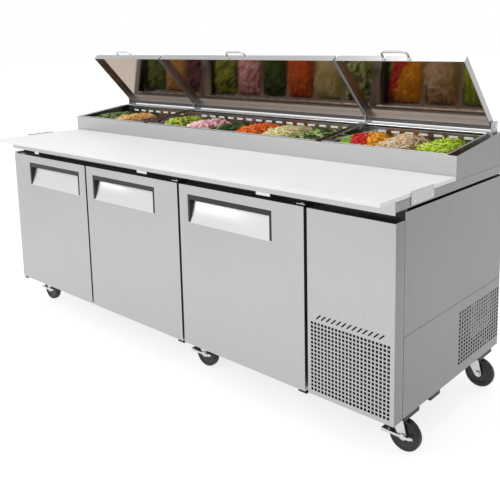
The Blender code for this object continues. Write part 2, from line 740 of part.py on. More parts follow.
def hinge_rail():
    """Strip along the rear of the deck with four upright plates whose pins carry the lids."""
    ends = (LID_SPANS[0][0] - PLATE_HALF * 2, LID_SPANS[2][1] + PLATE_HALF * 2)
    betweens = [(a[1] + b[0]) / 2 for a, b in zip(LID_SPANS, LID_SPANS[1:])]
    base = RAIL_TOP + GAP
    solids = [(ends[0] - PLATE_HALF, ends[1] + PLATE_HALF, *HINGE_STRIP_Y, base, base + SHEET)]
    for x in (*ends, *betweens):
        solids.append((x - PLATE_HALF, x + PLATE_HALF, 0.401, 0.451, base, HINGE_PLATE_TOP))
    axis = (HINGE_Y, HINGE_Z)
    pins = [rod(axis, LID_PIN_RADIUS, a[1] - LID_PIN_DEPTH, b[0] + LID_PIN_DEPTH, "X", 12)
            for a, b in zip(LID_SPANS, LID_SPANS[1:])]
    pins.append(rod(axis, LID_PIN_RADIUS, ends[0], LID_SPANS[0][0] + LID_PIN_DEPTH, "X", 12))
    pins.append(rod(axis, LID_PIN_RADIUS, LID_SPANS[2][1] - LID_PIN_DEPTH, ends[1], "X", 12))
    place("hinge_rail", union(boxwork(solids), *pins), "stainless")


def lids():
    """Tray-shaped lids drawn closed in their own axes, then turned open about the hinge axis."""
    tilt = DECK_SLOPE - LID_OPEN_ANGLE
    for index, (x0, x1) in enumerate(LID_SPANS):
        outer = (x0, x1, -LID_REACH, LID_HEEL, -LID_INNER, LID_OUTER)
        inside = (x0 + LID_WALL, x1 - LID_WALL, LID_WALL - LID_REACH, -LID_BAR)
        hollow = (*inside, -LID_INNER, LID_OUTER - LID_PANEL)
        depth = LID_PIN_DEPTH + 0.0015
        holes = [rod((0, 0), LID_PIN_RADIUS + GAP, a, b, "X", 12)
                 for a, b in ((x0 - 0.005, x0 + depth), (x1 - depth, x1 + 0.005))]
        lid = place(f"lid_{index + 1}", cut(boxwork([outer], [hollow]), *holes), "mirror_lid")
        handle = lid_handle(index, (x0 + x1) / 2)
        for thing in (lid, handle):
            thing.location = (0.0, HINGE_Y, HINGE_Z)
            thing.rotation_euler = (tilt, 0.0, 0.0)


def lid_handle(index, centre):
    """Bow handle of round bar standing out from the lid's free edge."""
    half = HANDLE_WIDTH / 2 - HANDLE_RADIUS
    root = -LID_REACH - GAP
    tip = -LID_REACH - HANDLE_REACH + HANDLE_RADIUS
    bend = 0.020
    path = [(centre - half, root)]
    path += arc((centre - half + bend, tip + bend), bend, 180, 270, 5)
    path += arc((centre + half - bend, tip + bend), bend, 270, 360, 5)
    path.append((centre + half, root))
    curve = bpy.data.curves.new(f"lid_handle_{index + 1}", "CURVE")
    curve.dimensions = "3D"
    curve.bevel_depth = HANDLE_RADIUS
    curve.bevel_resolution = 3
    curve.use_fill_caps = True
    spline = curve.splines.new("POLY")
    spline.points.add(len(path) - 1)
    for point, (x, y) in zip(spline.points, path):
        point.co = (x, y, 0.0, 1.0)
        point.tilt = 0.0
    curve.materials.append(finish_material("stainless"))
    handle = bpy.data.objects.new(f"lid_handle_{index + 1}", curve)
    bpy.context.scene.collection.objects.link(handle)
    return handle


# ---------------------------------------------------------------- refrigeration

def finned_block(x0, x1, y0, y1, z0, z1, grooves, groove_depth):
    """A solid block with upright grooves in its front face, like a finned coil."""
    pitch = (x1 - x0) / (grooves + 1)
    half = GROOVE_WIDTH / 2
    middles = [x0 + pitch * (i + 1) for i in range(grooves)]
    cuts = [(x - half, x + half, y0, y0 + groove_depth, z0 + COIL_BORDER, z1 - COIL_BORDER) for x in middles]
    return [(x0, x1, y0, y1, z0, z1)], cuts


def condenser():
    """Coil behind the front grille with the fan motor on a bracket behind it."""
    fan_x, _, fan_z = FAN_CENTRE
    z0, z1 = fan_z - BRACKET_HALF_HEIGHT, fan_z + BRACKET_HALF_HEIGHT
    solids, grooves = finned_block(*COIL_X, *COIL_Y, BODY_BOTTOM + CLEAR, COIL_TOP, 10, 0.015)
    for x in (COIL_X[0], COIL_X[1] - BRACKET_SHEET):
        solids.append((x, x + BRACKET_SHEET, COIL_Y[1], BRACKET_BACK, z0, z1))
    solids.append((*COIL_X, BRACKET_BACK - 0.008, BRACKET_BACK, z0, z1))
    motor = rod((fan_x, fan_z), 0.038, -0.149, -0.090, "Y", 20)
    shaft = rod((fan_x, fan_z), 0.004, -0.202, -0.145, "Y")
    place("condenser_coil", union(boxwork(solids, grooves), motor, shaft), "aluminium")


def condenser_fan():
    """Hub and blades about Y, with a blind bore for the motor's shaft."""
    x, y, z = FAN_CENTRE
    hub = turned([(0, -0.022), (0.026, -0.022), (0.030, -0.016), (0.030, 0.022), (0, 0.022)], 20, (0, 0, 0))
    blades = []
    for i in range(FAN_BLADES):
        blade = boxwork([(0.020, FAN_RADIUS, -0.030, 0.030, -0.0015, 0.0015)])
        spin = Matrix.Rotation(2 * math.pi * i / FAN_BLADES, 4, "Z")
        pitch = Matrix.Rotation(math.radians(28), 4, "X")
        blades.append(([spin @ pitch @ v for v in blade[0]], blade[1]))
    bore = rod((0, 0), 0.0043, -0.025, 0.018)
    fan = cut(union(hub, *blades), bore)
    turn = Matrix.Rotation(math.radians(90), 4, "X")
    fan = ([Vector((x, y, z)) + turn @ v for v in fan[0]], fan[1])
    place("condenser_fan", fan, "black_plastic", (x, y, z))


def compressor():
    """Domed steel shell on a foot plate."""
    x, y = COMPRESSOR_XY
    half_x, half_y = COMPRESSOR_FOOT
    base = BODY_BOTTOM + CLEAR
    dome = [(0, 0.004), (0.070, 0.004), (0.080, 0.014), (0.080, 0.160)]
    dome += [(0.070, 0.190), (0.040, 0.208), (0, 0.212)]
    shell = turned([(radius, base + height) for radius, height in dome], 24, (x, y, 0))
    foot = box(x - half_x, x + half_x, y - half_y, y + half_y, base, base + 0.006)
    place("compressor", union(foot, shell), "black_steel", (x, y, base), True)


def evaporator():
    """Finned coil high on the cabinet's rear wall."""
    solids, grooves = finned_block(*EVAPORATOR, 14, 0.020)
    place("evaporator", boxwork(solids, grooves), "aluminium")


def build():
    for thing in list(bpy.data.objects):
        bpy.data.objects.remove(thing, do_unlink=True)
    base_frame()
    casters()
    insulated_cabinet()
    front_frame()
    doors()
    shelves()
    front_panel()
    side_panels()
    rear_panel()
    worktop()
    cutting_board()
    board_brackets()
    rail_housing()
    cold_well()
    food_pans()
    hinge_rail()
    lids()
    condenser()
    condenser_fan()
    compressor()
    evaporator()


build()
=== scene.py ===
"""Looks of the sandwich prep table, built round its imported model.  Metres, +Z up."""
import json
import math
import random

import bmesh
import bpy
from mathutils import Matrix, Vector, noise


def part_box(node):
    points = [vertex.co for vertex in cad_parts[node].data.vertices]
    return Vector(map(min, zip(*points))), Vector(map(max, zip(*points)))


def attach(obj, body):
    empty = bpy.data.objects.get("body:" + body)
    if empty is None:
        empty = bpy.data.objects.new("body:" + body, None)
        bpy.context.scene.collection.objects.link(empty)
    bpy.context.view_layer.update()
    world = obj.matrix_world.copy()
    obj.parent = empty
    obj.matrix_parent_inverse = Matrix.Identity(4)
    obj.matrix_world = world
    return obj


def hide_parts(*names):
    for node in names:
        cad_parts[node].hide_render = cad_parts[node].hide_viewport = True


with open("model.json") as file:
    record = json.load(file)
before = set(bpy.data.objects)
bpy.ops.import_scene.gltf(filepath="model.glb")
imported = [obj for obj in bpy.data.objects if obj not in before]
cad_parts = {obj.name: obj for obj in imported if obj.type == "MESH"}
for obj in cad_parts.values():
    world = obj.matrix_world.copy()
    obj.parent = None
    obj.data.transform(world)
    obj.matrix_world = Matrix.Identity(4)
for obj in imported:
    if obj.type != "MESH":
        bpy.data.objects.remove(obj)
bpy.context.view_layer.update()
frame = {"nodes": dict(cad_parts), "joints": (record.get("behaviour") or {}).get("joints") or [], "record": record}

# Camera, in the table's own axes
CAMERA_PLACE = (2.2815, -2.2260, 1.4496)
CAMERA_YAW = 42.73
CAMERA_PITCH = -9.27
CAMERA_ROLL = -1.26
CAMERA_LENS = 49.81
CAMERA_SHIFT_Y = -0.20

# Facts of the CAD model that the boxes alone don't give
LID_TILT = math.radians(-46.77)     # lids' own axes, from flat, as they stand open
LID_REACH = 0.378                   # hinge axis to the free edge
LID_WALL = 0.003
LID_BAR = 0.022                     # hinge axis to the front of the bar along the hinge
LID_FLOOR = 0.0095                  # hinge axis up to the panel inside the tray
DECK_BREAK = 0.371                  # where the sloping deck turns level
DECK_FRONT = 1.017
DECK_BACK = 1.055
SHEET = 0.003
OPENING_Y = (0.056, 0.388)
OPENINGS_X = ((-1.1395, -0.5845), (-0.5445, 0.5445), (0.5845, 1.1395))
RAIL_FRONT_Y = 0.044

SHARP_ANGLE = math.radians(28)      # edges bent more than this are drawn sharp
DIM_SIDE = (0.97, 0.25, 0.0)        # direction in which the surroundings are dimmest

NODE_BODY = {node: body for body, nodes in frame["record"]["behaviour"]["bodies"].items() for node in nodes}
JOINTS = {joint["name"]: joint for joint in frame["joints"]}


# ---------------------------------------------------------------- materials

def new_material(name):
    """A node material, its node tree and its shader."""
    made = bpy.data.materials.new(name)
    made.use_nodes = True
    return made, made.node_tree, made.node_tree.nodes["Principled BSDF"]


def add_node(tree, kind, inputs=None, **settings):
    made = tree.nodes.new(kind)
    for key, value in settings.items():
        setattr(made, key, value)
    for key, value in (inputs or {}).items():
        if isinstance(value, bpy.types.NodeSocket):
            tree.links.new(value, made.inputs[key])
        else:
            made.inputs[key].default_value = value
    return made


def grain(tree, scale, detail=3.0, stretch=(1, 1, 1)):
    """Noise in object space, stretched along an axis for brushing or fibres."""
    place = add_node(tree, "ShaderNodeTexCoord")
    mapped = add_node(tree, "ShaderNodeMapping", {"Vector": place.outputs["Object"], "Scale": stretch})
    inputs = {"Vector": mapped.outputs["Vector"], "Scale": scale, "Detail": detail}
    made = add_node(tree, "ShaderNodeTexNoise", inputs)
    return made.outputs["Fac"]


def ramp(tree, factor, low, high):
    made = add_node(tree, "ShaderNodeMapRange", {"Value": factor, "From Min": 0.3, "From Max": 0.7,
                                                 "To Min": low, "To Max": high})
    return made.outputs["Result"]


def two_tone(tree, factor, first, second):
    made = add_node(tree, "ShaderNodeMix", data_type="RGBA")
    tree.links.new(factor, made.inputs["Factor"])
    made.inputs["A"].default_value = (*first, 1)
    made.inputs["B"].default_value = (*second, 1)
    return made.outputs["Result"]


def bump(tree, shader, height, strength, distance):
    made = add_node(tree, "ShaderNodeBump", {"Height": height, "Strength": strength, "Distance": distance})
    tree.links.new(made.outputs["Normal"], shader.inputs["Normal"])


def steel(name, colour, roughness, brushed=(1, 60, 60), spread=0.05, dent=0.04):
    """Brushed stainless: streaks along one axis, faint smears, and the slightest waviness."""
    made, tree, shader = new_material(name)
    streaks = grain(tree, 9.0, 4.0, brushed)
    smears = grain(tree, 2.2, 2.0)
    darker = tuple(0.955 * c for c in colour)
    tree.links.new(two_tone(tree, ramp(tree, streaks, 0, 1), colour, darker), shader.inputs["Base Color"])
    shader.inputs["Metallic"].default_value = 1.0
    mixed = add_node(tree, "ShaderNodeMath", {0: streaks, 1: smears}, operation="MULTIPLY")
    rough = add_node(tree, "ShaderNodeMapRange", {"Value": mixed.outputs[0], "From Min": 0.1, "From Max": 0.4,
                                                  "To Min": roughness - spread, "To Max": roughness + spread})
    tree.links.new(rough.outputs["Result"], shader.inputs["Roughness"])
    bump(tree, shader, streaks, dent, 0.0006)
    return made


def plastic(name, colour, roughness, fine=260.0, strength=0.08, lighter=1.12):
    """Moulded plastic, rubber or enamel with a fine texture."""
    made, tree, shader = new_material(name)
    texture = grain(tree, fine, 2.0)
    patches = grain(tree, 6.0, 2.0)
    second = tuple(min(1.0, lighter * c) for c in colour)
    tree.links.new(two_tone(tree, patches, colour, second), shader.inputs["Base Color"])
    tree.links.new(ramp(tree, patches, roughness - 0.04, roughness + 0.04), shader.inputs["Roughness"])
    bump(tree, shader, texture, strength, 0.0004)
    return made


def food_material(name, first, second, roughness=0.42, wet=0.25):
    """Moist food in two patchy tones."""
    made, tree, shader = new_material(name)
    patches = grain(tree, 70.0, 3.0)
    tree.links.new(two_tone(tree, ramp(tree, patches, 0, 1), first, second), shader.inputs["Base Color"])
    shader.inputs["Roughness"].default_value = roughness
    shader.inputs["Coat Weight"].default_value = wet
    shader.inputs["Coat Roughness"].default_value = 0.2
    bump(tree, shader, patches, 0.25, 0.001)
    return made


STEEL_FRONT = steel("steel_front", (0.48, 0.48, 0.48), 0.32, (60, 60, 1.0))
# A lighter copy of the front's steel for the sloping faces of the door handles' recesses: painted light.
STEEL_RAMP_PAINTED_LIGHT = steel("steel_ramp", (0.68, 0.68, 0.68), 0.36, (60, 60, 1.0))
# A darker copy of the front's steel for the table's end faces and side panels: painted shade on the sides.
STEEL_SIDE_PAINTED_SHADE = steel("steel_side", (0.26, 0.26, 0.26), 0.36, (60, 60, 1.0))
STEEL_TOP = steel("steel_top", (0.52, 0.52, 0.52), 0.30, (1.0, 60, 60))
STEEL_RAIL = steel("steel_rail", (0.52, 0.52, 0.52), 0.33, (1.0, 60, 60))
# A much darker copy of the rail's steel for the deck's top faces: painted shade.
STEEL_DECK_PAINTED_SHADE = steel("steel_deck", (0.22, 0.22, 0.22), 0.22, (1.0, 60, 60))
STEEL_PAN = steel("steel_pan", (0.44, 0.425, 0.41), 0.20, (20, 20, 20))
STEEL_TRIM = steel("steel_trim", (0.70, 0.70, 0.70), 0.22, (1.0, 40, 40))
STEEL_LID = steel("steel_lid", (0.47, 0.47, 0.47), 0.34, (1.0, 140, 140), 0.03, 0.012)
# A warm tan tint on the lids' polished inner panels: painted reflection of the food.
STEEL_MIRROR_PAINTED_REFLECTION = steel("steel_mirror", (0.42, 0.335, 0.275), 0.11, (1.0, 8, 60), 0.03, 0.02)
STEEL_REAR = steel("steel_rear", (0.40, 0.40, 0.40), 0.42, (60, 60, 1.0))
ZINC = steel("zinc", (0.66, 0.66, 0.65), 0.26, (14, 14, 14), 0.07)
ALUMINIUM = steel("aluminium", (0.55, 0.56, 0.57), 0.42, (60, 60, 2.0))
LINER = plastic("liner", (0.62, 0.63, 0.64), 0.45)
BOARD = plastic("board", (0.68, 0.68, 0.675), 0.50, 420.0, 0.05, 1.02)
BLACK_PLASTIC = plastic("black_plastic", (0.006, 0.006, 0.0065), 0.42)
BLACK_STEEL = plastic("black_steel", (0.008, 0.008, 0.0085), 0.48, 180.0, 0.05)
RUBBER = plastic("rubber", (0.006, 0.006, 0.0065), 0.50)
NYLON = plastic("nylon", (0.010, 0.010, 0.011), 0.40)
GASKET = plastic("gasket", (0.16, 0.16, 0.165), 0.60)
WIRE = plastic("wire", (0.75, 0.76, 0.77), 0.35)
# Near-white, raised so the air duct deep in the shaded bay still shows bright: painted light on the duct; the
# slots along the well's rear wall share it.
VENT = plastic("vent", (0.90, 0.90, 0.90), 0.40)


# ---------------------------------------------------------------- pieces

def show(name, mesh, finish, body, replaces=(), smooth=True):
    """A piece riding on a body, in place of the CAD nodes it names."""
    finishes = finish if isinstance(finish, (list, tuple)) else [finish]
    indices = [face.material_index for face in mesh.polygons]     # clear() sets them all to 0
    mesh.materials.clear()
    for one in finishes:
        mesh.materials.append(one)
    if len(finishes) > 1:
        mesh.polygons.foreach_set("material_index", indices)
    if smooth:
        mesh.shade_smooth()
        mesh.set_sharp_from_angle(angle=SHARP_ANGLE)
    piece = bpy.data.objects.new(name, mesh)
    bpy.context.scene.collection.objects.link(piece)
    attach(piece, body)
    if replaces:
        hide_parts(*replaces)
    return piece


def cleaned(node):
    """A copy of a CAD node's mesh with its flat faces whole again."""
    mesh = bpy.data.meshes.new(node + "_mesh")
    bm = bmesh.new()
    bm.from_mesh(frame["nodes"][node].data)
    bmesh.ops.remove_doubles(bm, verts=bm.verts[:], dist=1e-6)
    bmesh.ops.dissolve_limit(bm, angle_limit=math.radians(0.5), verts=bm.verts[:], edges=bm.edges[:])
    bmesh.ops.recalc_face_normals(bm, faces=bm.faces[:])
    bm.to_mesh(mesh)
    bm.free()
    return mesh


def refine(node, finish, width=0.001, segments=2, others=()):
    """The CAD node's own shape with its edges rounded; others are finishes for faces that pass a test."""
    mesh = cleaned(node)
    for face in mesh.polygons:
        for index, (_, test) in enumerate(others, 1):
            if test(face):
                face.material_index = index
    finishes = [finish] + [other for other, _ in others]
    piece = show(node + "_skin", mesh, finishes, NODE_BODY[node], (node,))
    if width:
        rounding = piece.modifiers.new("Rounding", "BEVEL")
        rounding.width = width
        rounding.segments = segments
        rounding.limit_method = "ANGLE"
        rounding.angle_limit = math.radians(30)
        rounding.harden_normals = True


def mesh_of(name, bm):
    mesh = bpy.data.meshes.new(name)
    bmesh.ops.recalc_face_normals(bm, faces=bm.faces[:])
    bm.to_mesh(mesh)
    bm.free()
    return mesh


def add_box(bm, low, high, rounding=0.0, matrix=None):
    """A box in a bmesh, with its edges rounded if asked."""
    size = [h - l for l, h in zip(low, high)]
    middle = [(h + l) / 2 for l, h in zip(low, high)]
    place = Matrix.Translation(middle) @ Matrix.Diagonal((*size, 1.0))
    made = bmesh.ops.create_cube(bm, size=1.0, matrix=place)["verts"]
    faces = {f for v in made for f in v.link_faces}
    if rounding:
        edges = list({e for v in made for e in v.link_edges})
        result = bmesh.ops.bevel(bm, geom=edges, offset=rounding, segments=2, profile=0.5, affect="EDGES")
        faces = set(result["faces"]) | {f for f in faces if f.is_valid}
    if matrix:
        bmesh.ops.transform(bm, matrix=matrix, verts=list({v for f in faces for v in f.verts}))


def add_disc(bm, centre, radius, thickness, axis, sides=16, dome=0.0):
    """A short round piece standing on a surface, such as a screw head, with a chamfered rim."""
    axis = Vector(axis).normalized()
    turn = axis.to_track_quat("Z", "Y").to_matrix().to_4x4()
    place = Matrix.Translation(centre) @ turn
    chamfer = min(radius, thickness) * 0.3
    levels = [(radius, 0.0), (radius, thickness - chamfer), (radius - chamfer, thickness),
              (radius * 0.4, thickness + dome)]
    angles = [2 * math.pi * i / sides for i in range(sides)]
    rows = []
    for r, h in levels:
        rows.append([bm.verts.new(place @ Vector((r * math.cos(a), r * math.sin(a), h))) for a in angles])
    for lower, upper in zip(rows, rows[1:]):
        for i in range(sides):
            bm.faces.new((lower[i], lower[(i + 1) % sides], upper[(i + 1) % sides], upper[i]))
    for row in (rows[0], rows[-1]):
        bm.faces.new(row)


def add_tube(bm, path, radius, sides=8, closed=False):
    """A round bar along a path of points."""
    path = [Vector(p) for p in path]
    rows = []
    previous = None
    for i, point in enumerate(path):
        before = path[i - 1] if i or closed else path[i]
        after = path[(i + 1) % len(path)] if i + 1 < len(path) or closed else path[i]
        along = (after - before).normalized()
        if previous is None:
            previous = along.orthogonal().normalized()
        across = (previous - along * previous.dot(along)).normalized()
        previous = across
        other = along.cross(across)
        rows.append([bm.verts.new(point + radius * (across * math.cos(t) + other * math.sin(t)))
                     for t in (2 * math.pi * k / sides for k in range(sides))])
    pairs = list(zip(rows, rows[1:]))
    if closed:
        pairs.append((rows[-1], rows[0]))
    for lower, upper in pairs:
        for k in range(sides):
            bm.faces.new((lower[k], lower[(k + 1) % sides], upper[(k + 1) % sides], upper[k]))
    if not closed:
        bm.faces.new(rows[0])
        bm.faces.new(rows[-1])


def cut_holes(mesh, cutter_bm):
    """The mesh less a set of separate closed shapes."""
    target = bpy.data.objects.new("target", mesh)
    cutter = bpy.data.objects.new("cutter", mesh_of("cutter", cutter_bm))
    for thing in (target, cutter):
        bpy.context.scene.collection.objects.link(thing)
    modifier = target.modifiers.new("Holes", "BOOLEAN")
    modifier.operation = "DIFFERENCE"
    modifier.solver = "EXACT"
    modifier.object = cutter
    evaluated = target.evaluated_get(bpy.context.evaluated_depsgraph_get())
    result = bpy.data.meshes.new_from_object(evaluated)
    for thing in (target, cutter):
        bpy.data.objects.remove(thing, do_unlink=True)
    return result


# End faces, which get the darker side steel: painted shade.
def is_end(face):
    return abs(face.normal.x) > 0.9


# ---------------------------------------------------------------- cabinet

def doors():
    for index in (1, 2, 3):
        node = f"door_{index}"
        # The recess's sloping faces take the lighter ramp steel: painted light.
        painted_light_ramp_faces = (STEEL_RAMP_PAINTED_LIGHT, lambda face: face.normal.y < 0 and 0.1 < face.normal.z < 0.9)
        refine(node, STEEL_FRONT, 0.0022, 3, [painted_light_ramp_faces])
        refine(f"door_handle_{index}", BLACK_PLASTIC, 0.0012, 2)
        refine(f"door_gasket_{index}", GASKET, 0.0016, 3)
        low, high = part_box(node)
        inset, depth = 0.046, 0.0035
        bm = bmesh.new()
        for step, proud in ((inset, depth), (inset + 0.038, depth + 0.0020)):
            near = (low[0] + step, high[1] + 0.0002, low[2] + step)
            add_box(bm, near, (high[0] - step, high[1] + proud, high[2] - step), 0.0012)
        show(f"door_liner_{index}", mesh_of("door_liner", bm), LINER, node)


def folded_panel(node, holes):
    """A sheet folded back along its four sides, open behind, with holes through its face."""
    (x0, y0, z0), (x1, y1, z1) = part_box(node)
    bm = bmesh.new()
    place = Matrix.Translation(((x0 + x1) / 2, (y0 + y1) / 2, (z0 + z1) / 2))
    place = place @ Matrix.Diagonal((x1 - x0, y1 - y0, z1 - z0, 1))
    bmesh.ops.create_cube(bm, size=1.0, matrix=place)
    rear = max(bm.faces, key=lambda f: f.calc_center_median().y)
    keep = [e for e in bm.edges if e not in rear.edges]
    bmesh.ops.delete(bm, geom=[rear], context="FACES_ONLY")
    bmesh.ops.bevel(bm, geom=keep, offset=0.003, segments=3, profile=0.5, affect="EDGES")
    bmesh.ops.recalc_face_normals(bm, faces=bm.faces[:])
    bmesh.ops.solidify(bm, geom=bm.faces[:], thickness=0.0012)
    for face in bm.faces:
        # The panel's right end takes the darker side steel: painted shade.
        face.material_index = 1 if face.normal.x > 0.9 and face.calc_center_median().x > x1 - 0.002 else 0
    cut = cut_holes(mesh_of(node, bm), holes)
    show(node + "_skin", cut, [STEEL_FRONT, STEEL_SIDE_PAINTED_SHADE], NODE_BODY[node], (node,))


def grid_of_holes(bm, first, last, counts, size, fixed, plane="xz"):
    """Square holes in rows and columns through a sheet that stands across Y or X."""
    for i in range(counts[0]):
        for k in range(counts[1]):
            a = first[0] + (last[0] - first[0]) * i / (counts[0] - 1)
            z = first[1] + (last[1] - first[1]) * k / (counts[1] - 1)
            wide, tall = size[0] / 2, size[1] / 2
            if plane == "xz":
                low, high = (a - wide, fixed[0], z - tall), (a + wide, fixed[1], z + tall)
            else:
                low, high = (fixed[0], a - wide, z - tall), (fixed[1], a + wide, z + tall)
            add_box(bm, low, high)


def front_panel():
    """Machine-bay panel: a field of square holes with a row of slanted slots over it."""
    face_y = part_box("front_panel")[0][1]
    bm = bmesh.new()
    through = (face_y - 0.004, face_y + 0.006)
    grid_of_holes(bm, (0.8445, 0.184), (1.1605, 0.437), (22, 18), (0.0100, 0.0100), through)
    slots, first, last = 13, 0.8735, 1.1335
    slant, width, z0, z1 = 0.0095, 0.0038, 0.455, 0.474
    for i in range(slots):
        x = first + (last - first) * i / (slots - 1)
        corners = [(x - slant - width, z0), (x - slant + width, z0),
                   (x + slant + width, z1), (x + slant - width, z1)]
        rows = [[bm.verts.new((a, y, b)) for a, b in corners] for y in through]
        bm.faces.new(rows[0])
        bm.faces.new(rows[1][::-1])
        for k in range(4):
            bm.faces.new((rows[0][k], rows[0][(k + 1) % 4], rows[1][(k + 1) % 4], rows[1][k]))
    folded_panel("front_panel", bm)


def side_panels():
    # Both side panels take the darker side steel: painted shade.
    refine("side_panel_upper", STEEL_SIDE_PAINTED_SHADE, 0.0008)
    low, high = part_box("side_panel_lower")
    bm = bmesh.new()
    add_box(bm, low, high)
    sheet = mesh_of("side_panel_lower", bm)
    holes = bmesh.new()
    through = (low[0] - 0.004, high[0] + 0.004)
    grid_of_holes(holes, (0.107, 0.210), (0.444, 0.410), (17, 14), (0.0128, 0.0102), through, "yz")
    show("side_panel_lower_skin", cut_holes(sheet, holes), STEEL_SIDE_PAINTED_SHADE, "table", ("side_panel_lower",))
    refine("rear_panel", STEEL_REAR, 0.0006)


def machine_bay():
    """What shows through the grilles: a dark filter in front and a pale air duct at the side, its near-white
    standing in for light on the duct, painted light.
    """
    bm = bmesh.new()
    x0, x1, z0, z1 = 0.836, 1.168, 0.172, 0.490
    uprights, upright_y, crossbars, crossbar_y = 40, -0.3440, 38, -0.3425
    half, thick = 0.0030, 0.0012
    for i in range(uprights):
        x = x0 + (x1 - x0) * (i + 0.5) / uprights
        add_box(bm, (x - half, upright_y, z0), (x + half, upright_y + thick, z1))
    for i in range(crossbars):
        z = z0 + (z1 - z0) * (i + 0.5) / crossbars
        add_box(bm, (x0, crossbar_y, z - half), (x1, crossbar_y + thick, z + half))
    show("air_filter", mesh_of("air_filter", bm), BLACK_STEEL, "table", smooth=False)
    bm = bmesh.new()
    inner, outer, rounding = 1.060, 1.172, 0.004
    for y0, y1, z0, z1, set_back in ((0.225, 0.262, 0.262, 0.452, 0), (0.262, 0.405, 0.262, 0.318, 0),
                                     (0.372, 0.405, 0.318, 0.452, 0), (0.262, 0.372, 0.400, 0.452, 0.008)):
        add_box(bm, (inner, y0, z0), (outer - set_back, y1, z1), rounding)
    show("air_duct", mesh_of("air_duct", bm), VENT, "table")


def shelves():
    """Wire shelves: round bars on a border of thicker ones."""
    for index in (1, 2, 3):
        low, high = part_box(f"shelf_{index}")
        z = (low[2] + high[2]) / 2
        thick, thin = 0.0028, 0.0018
        bm = bmesh.new()
        corners = [(low[0] + thick, low[1] + thick, z), (high[0] - thick, low[1] + thick, z),
                   (high[0] - thick, high[1] - thick, z), (low[0] + thick, high[1] - thick, z)]
        add_tube(bm, corners, thick, 8, True)
        for y in (-0.08, 0.10):
            add_tube(bm, [(low[0] + thick, y, z - 0.0005), (high[0] - thick, y, z - 0.0005)], thin * 1.2, 6)
        bars = 26
        for i in range(1, bars):
            x = low[0] + (high[0] - low[0]) * i / bars
            add_tube(bm, [(x, low[1] + thick, z + 0.001), (x, high[1] - thick, z + 0.001)], thin, 6)
        show(f"shelf_{index}_wires", mesh_of("shelf", bm), WIRE, "table", (f"shelf_{index}",))


def hinge_hardware():
    """Bright hinge plates over the doors, bent tabs under the skirt, and their screws."""
    bm = bmesh.new()
    low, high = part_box("door_1")
    top = high[2]
    for name in ("door_1_swing", "door_2_swing", "door_3_swing"):
        x, y = JOINTS[name]["pos_m"][:2]
        x0, x1 = max(x - 0.019, -1.178), x + 0.019
        add_box(bm, (x0, -0.3615, top + 0.0072), (x1, -0.309, top + 0.0094), 0.0006)
        add_disc(bm, (x, y, top + 0.0094), 0.0055, 0.002, (0, 0, 1), 12)
        add_box(bm, (x0, -0.3615, low[2] - 0.0114), (x1, -0.309, low[2] - 0.0092), 0.0006)
    for x0, x1 in ((-0.9825, -0.9445), (-0.1295, -0.0605), (0.5805, 0.6505)):
        add_box(bm, (x0, -0.3560, 0.8690), (x1, -0.3085, 0.8712), 0.0006)
        add_box(bm, (x0, -0.3582, 0.8690), (x1, -0.3560, 0.8835), 0.0006)
    show("hinge_hardware", mesh_of("hinge_hardware", bm), STEEL_TRIM, "table")


def cabinet():
    bay_wall = (STEEL_REAR, lambda face: face.normal.x > 0.9 and face.center.x > 0.8)
    refine("insulated_cabinet", LINER, 0.0015, 2, [bay_wall])
    refine("front_frame", BLACK_STEEL, 0.0006)
    refine("base_frame", BLACK_STEEL, 0.0008)
    doors()
    front_panel()
    side_panels()
    machine_bay()
    shelves()
    hinge_hardware()
    for node, finish in (("condenser_coil", ALUMINIUM), ("condenser_fan", BLACK_PLASTIC),
                         ("compressor", BLACK_STEEL), ("evaporator", ALUMINIUM)):
        refine(node, finish, 0.0006, 1)


# ---------------------------------------------------------------- top

def top():
    # The worktop's ends take the darker side steel: painted shade.
    refine("worktop", STEEL_TOP, 0.0012, 2, [(STEEL_SIDE_PAINTED_SHADE, is_end)])
    refine("cutting_board", BOARD, 0.0020, 3)
    for side, name in ((-1, "left"), (1, "right")):
        node = f"board_bracket_{name}"
        refine(node, STEEL_FRONT, 0.0005)
        low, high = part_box(node)
        outer = high[0] if side > 0 else low[0]
        bm = bmesh.new()
        for y in (-0.252, -0.141):
            add_disc(bm, (outer, y, 0.913), 0.0045, 0.0012, (side, 0, 0), 14, 0.0004)
        show(f"bracket_screws_{name}", mesh_of("screws", bm), STEEL_TRIM, "table")


def deck_height(y):
    slope = (DECK_BACK - DECK_FRONT) / (DECK_BREAK - RAIL_FRONT_Y)
    return min(DECK_BACK, DECK_FRONT + (y - RAIL_FRONT_Y) * slope)


